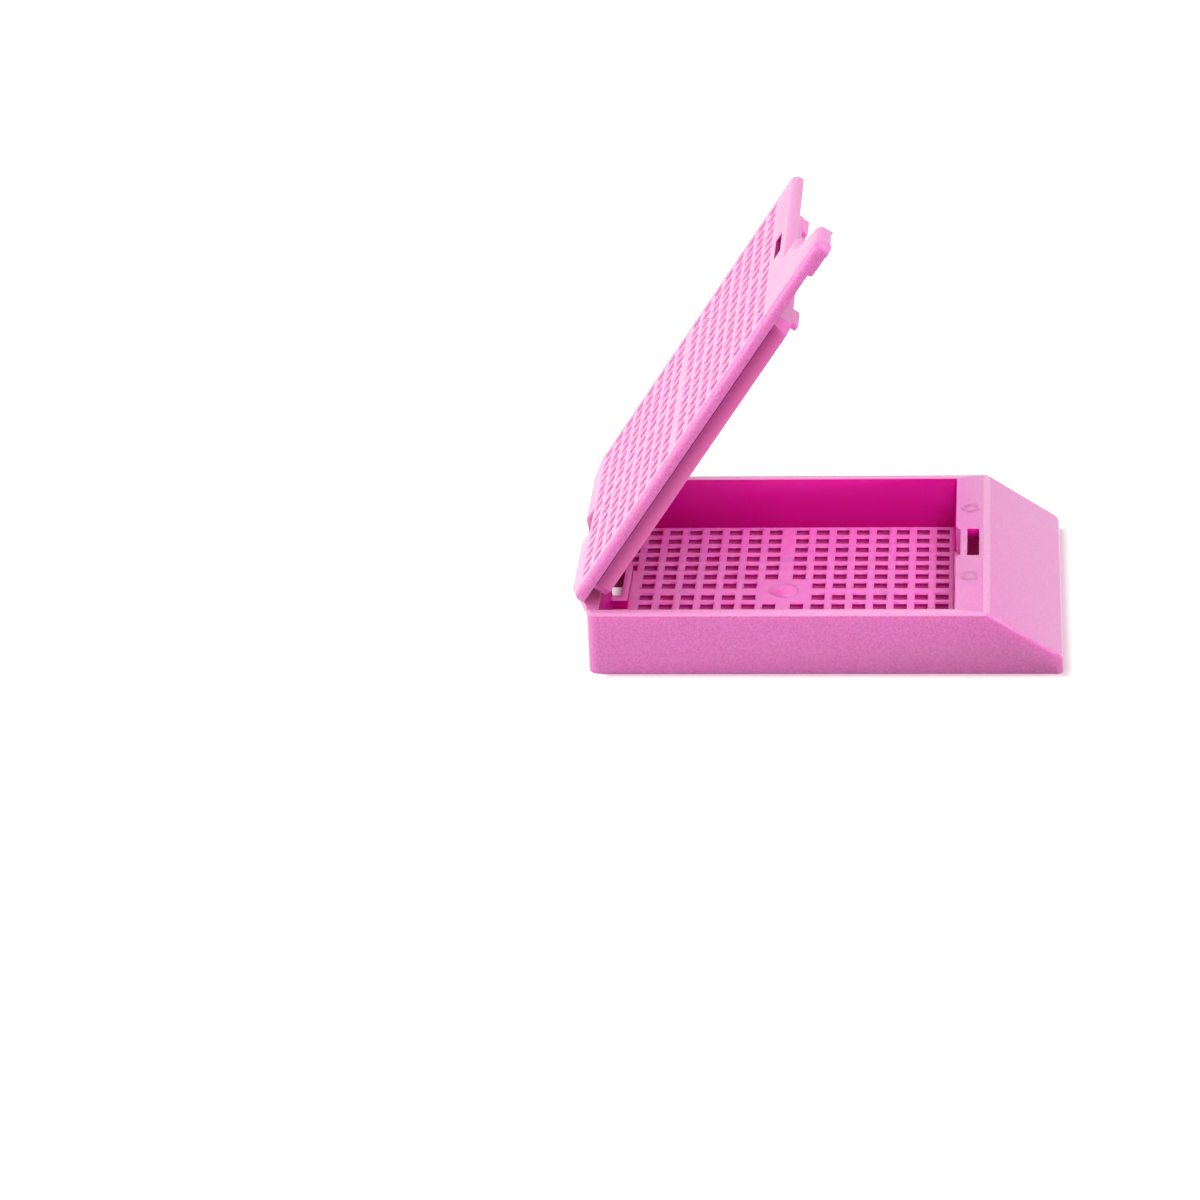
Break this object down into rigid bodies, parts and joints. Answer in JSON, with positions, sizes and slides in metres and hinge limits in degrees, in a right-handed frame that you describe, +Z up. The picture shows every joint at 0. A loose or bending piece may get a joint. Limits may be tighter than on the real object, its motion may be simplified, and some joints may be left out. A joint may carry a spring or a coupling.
{
  "type": "hinged tissue cassette",
  "caption": "Perforated plastic tray with a sloped writing face and a perforated snap lid on a living hinge, for holding a tissue specimen while it is processed and embedded.",
  "frame": {"origin": "middle of the tray's footprint, on its underside", "axes": "+Z up out of the tray, +Y towards the hinge, -Y towards the sloped writing face, +X across the width, away from the lid's finger tab"},
  "size_m": [0.0286, 0.0423, 0.0399],
  "materials": {
    "acetal_tray": "translucent injection-moulded acetal, fine matte grain",
    "acetal_lid": "translucent injection-moulded acetal, fine matte grain"
  },
  "bodies": {
    "tray": {"base": "acetal_tray"},
    "cover": {"lid": "acetal_lid"}
  },
  "joints": [
    {"name": "lid_hinge", "type": "hinge", "parent": "tray", "child": "cover", "pos_m": [0, 0.02138, 0.0058], "axis": [-1, 0, 0], "range_deg": [-56.5, 123.5]}
  ]
}
